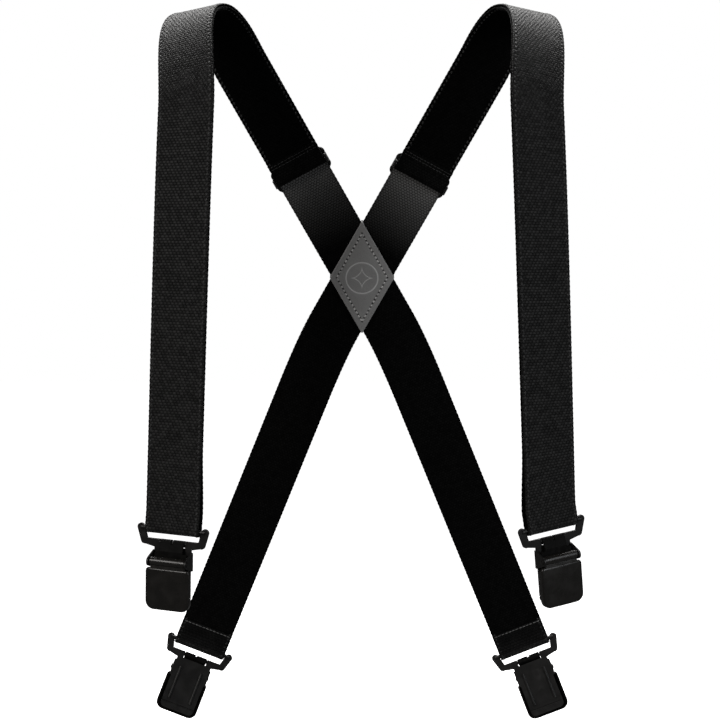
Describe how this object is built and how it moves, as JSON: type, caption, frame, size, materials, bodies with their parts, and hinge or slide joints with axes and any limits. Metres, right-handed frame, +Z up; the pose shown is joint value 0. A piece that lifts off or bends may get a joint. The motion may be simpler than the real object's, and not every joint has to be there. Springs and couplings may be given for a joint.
{
  "type": "suspenders",
  "caption": "Elastic suspenders with an X back: straps that cross under a leather patch, sliding length adjusters, and hinged lever clips that hang from the strap ends.",
  "frame": {"origin": "midway between the tops of the two shoulder arches, level with the top of the strap there", "axes": "+Z up, -Y towards the front of the wearer, +X towards the left hand of the wearer"},
  "size_m": [0.3022, 0.2183, 0.5026],
  "materials": {
    "webbing": "woven elastic, matt twill face",
    "webbing_inner": "woven elastic, flat inner face",
    "leather": "fine grain, matt",
    "thread": "twisted polyester thread",
    "black_steel": "black enamel on pressed steel, satin",
    "lever_enamel": "black enamel on pressed steel, gloss",
    "grip_plastic": "ribbed, matt"
  },
  "bodies": {
    "harness": {"left_back_web": "webbing", "left_shoulder_web": "webbing", "left_chest_web": "webbing", "left_rear_web": "webbing", "left_return_chest_web": "webbing_inner", "left_return_shoulder_web": "webbing_inner", "left_return_back_web": "webbing_inner", "right_back_web": "webbing", "right_shoulder_web": "webbing", "right_chest_web": "webbing", "right_rear_web": "webbing", "right_return_chest_web": "webbing_inner", "right_return_shoulder_web": "webbing_inner", "right_return_back_web": "webbing_inner", "inner_patch": "leather", "outer_patch": "leather"},
    "left_glide": {"left_adjuster": "black_steel", "left_return_loop": "webbing_inner", "left_return_seam": "thread"},
    "left_front_end": {"left_front_fold": "webbing"},
    "left_rear_end": {"left_rear_fold": "webbing_inner", "left_rear_seam": "thread"},
    "left_front_clip": {"left_front_frame": "black_steel", "left_front_grip": "grip_plastic", "left_front_pin": "black_steel"},
    "left_front_cover": {"left_front_lever": "lever_enamel"},
    "left_front_clamp": {"left_front_jaw": "black_steel", "left_front_jaw_pad": "grip_plastic"},
    "left_rear_clip": {"left_rear_frame": "black_steel", "left_rear_grip": "grip_plastic", "left_rear_pin": "black_steel"},
    "left_rear_cover": {"left_rear_lever": "lever_enamel"},
    "left_rear_clamp": {"left_rear_jaw": "black_steel", "left_rear_jaw_pad": "grip_plastic"},
    "right_glide": {"right_adjuster": "black_steel", "right_return_loop": "webbing_inner", "right_return_seam": "thread"},
    "right_front_end": {"right_front_fold": "webbing"},
    "right_rear_end": {"right_rear_fold": "webbing_inner", "right_rear_seam": "thread"},
    "right_front_clip": {"right_front_frame": "black_steel", "right_front_grip": "grip_plastic", "right_front_pin": "black_steel"},
    "right_front_cover": {"right_front_lever": "lever_enamel"},
    "right_front_clamp": {"right_front_jaw": "black_steel", "right_front_jaw_pad": "grip_plastic"},
    "right_rear_clip": {"right_rear_frame": "black_steel", "right_rear_grip": "grip_plastic", "right_rear_pin": "black_steel"},
    "right_rear_cover": {"right_rear_lever": "lever_enamel"},
    "right_rear_clamp": {"right_rear_jaw": "black_steel", "right_rear_jaw_pad": "grip_plastic"}
  },
  "joints": [
    {"name": "left_adjuster_slide", "type": "slide", "parent": "harness", "child": "left_glide", "axis": [-0.4842, 0.2598, -0.8355], "range_m": [-0.04, 0.012], "deforming": ["left_return_back_web"]},
    {"name": "left_length_drop", "type": "slide", "parent": "harness", "child": "left_front_end", "axis": [0.03, 0.0002, -0.9996], "range_m": [-0.0065, 0.0205], "deforming": ["left_chest_web", "left_return_chest_web"]},
    {"name": "left_rear_stretch", "type": "slide", "parent": "harness", "child": "left_rear_end", "axis": [-0.3746, 0.1679, -0.9119], "range_m": [0, 0.05], "stiffness_N_per_m": 180, "springref_m": -0.004, "deforming": ["left_rear_web"]},
    {"name": "left_front_swing", "type": "hinge", "parent": "left_front_end", "child": "left_front_clip", "pos_m": [0.12225, -0.06615, -0.34586], "axis": [-0.8777, -0.4497, -0.1657], "range_deg": [-75, 75]},
    {"name": "left_front_lever_turn", "type": "hinge", "parent": "left_front_clip", "child": "left_front_cover", "pos_m": [0.12787, -0.0695, -0.36651], "axis": [-0.8777, -0.4497, -0.1657], "range_deg": [0, 115]},
    {"name": "left_front_jaw_turn", "type": "hinge", "parent": "left_front_clip", "child": "left_front_clamp", "pos_m": [0.123, -0.06444, -0.35447], "axis": [-0.8777, -0.4497, -0.1657], "range_deg": [0, 6.1]},
    {"name": "left_rear_swing", "type": "hinge", "parent": "left_rear_end", "child": "left_rear_clip", "pos_m": [-0.119, 0.12859, -0.44993], "axis": [0.9272, 0.0678, -0.3684], "range_deg": [-75, 75]},
    {"name": "left_rear_lever_turn", "type": "hinge", "parent": "left_rear_clip", "child": "left_rear_cover", "pos_m": [-0.12709, 0.13356, -0.46939], "axis": [0.9272, 0.0678, -0.3684], "range_deg": [0, 115]},
    {"name": "left_rear_jaw_turn", "type": "hinge", "parent": "left_rear_clip", "child": "left_rear_clamp", "pos_m": [-0.12212, 0.12718, -0.45804], "axis": [0.9272, 0.0678, -0.3684], "range_deg": [0, 6.1]},
    {"name": "right_adjuster_slide", "type": "slide", "parent": "harness", "child": "right_glide", "axis": [0.4842, 0.2598, -0.8355], "range_m": [-0.04, 0.012], "deforming": ["right_return_back_web"]},
    {"name": "right_length_drop", "type": "slide", "parent": "harness", "child": "right_front_end", "axis": [-0.03, 0.0002, -0.9996], "range_m": [-0.0065, 0.0205], "deforming": ["right_chest_web", "right_return_chest_web"]},
    {"name": "right_rear_stretch", "type": "slide", "parent": "harness", "child": "right_rear_end", "axis": [0.3746, 0.1679, -0.9119], "range_m": [0, 0.05], "stiffness_N_per_m": 180, "springref_m": -0.004, "deforming": ["right_rear_web"]},
    {"name": "right_front_swing", "type": "hinge", "parent": "right_front_end", "child": "right_front_clip", "pos_m": [-0.12153, -0.06851, -0.34849], "axis": [-0.937, 0.3418, 0.0718], "range_deg": [-75, 75]},
    {"name": "right_front_lever_turn", "type": "hinge", "parent": "right_front_clip", "child": "right_front_cover", "pos_m": [-0.12484, -0.07321, -0.36937], "axis": [-0.937, 0.3418, 0.0718], "range_deg": [0, 115]},
    {"name": "right_front_jaw_turn", "type": "hinge", "parent": "right_front_clip", "child": "right_front_clamp", "pos_m": [-0.12171, -0.06719, -0.35719], "axis": [-0.937, 0.3418, 0.0718], "range_deg": [0, 6.1]},
    {"name": "right_rear_swing", "type": "hinge", "parent": "right_rear_end", "child": "right_rear_clip", "pos_m": [0.119, 0.12669, -0.44993], "axis": [0.9272, -0.0678, 0.3684], "range_deg": [-75, 75]},
    {"name": "right_rear_lever_turn", "type": "hinge", "parent": "right_rear_clip", "child": "right_rear_cover", "pos_m": [0.12709, 0.13166, -0.46939], "axis": [0.9272, -0.0678, 0.3684], "range_deg": [0, 115]},
    {"name": "right_rear_jaw_turn", "type": "hinge", "parent": "right_rear_clip", "child": "right_rear_clamp", "pos_m": [0.12212, 0.12528, -0.45804], "axis": [0.9272, -0.0678, 0.3684], "range_deg": [0, 6.1]}
  ],
  "couplings": [
    {"joint": "left_length_drop", "follows": "left_adjuster_slide", "ratio": -0.5},
    {"joint": "left_front_jaw_turn", "follows": "left_front_lever_turn", "ratio": 0.0522},
    {"joint": "left_rear_jaw_turn", "follows": "left_rear_lever_turn", "ratio": 0.0522},
    {"joint": "right_length_drop", "follows": "right_adjuster_slide", "ratio": -0.5},
    {"joint": "right_front_jaw_turn", "follows": "right_front_lever_turn", "ratio": 0.0522},
    {"joint": "right_rear_jaw_turn", "follows": "right_rear_lever_turn", "ratio": 0.0522}
  ]
}
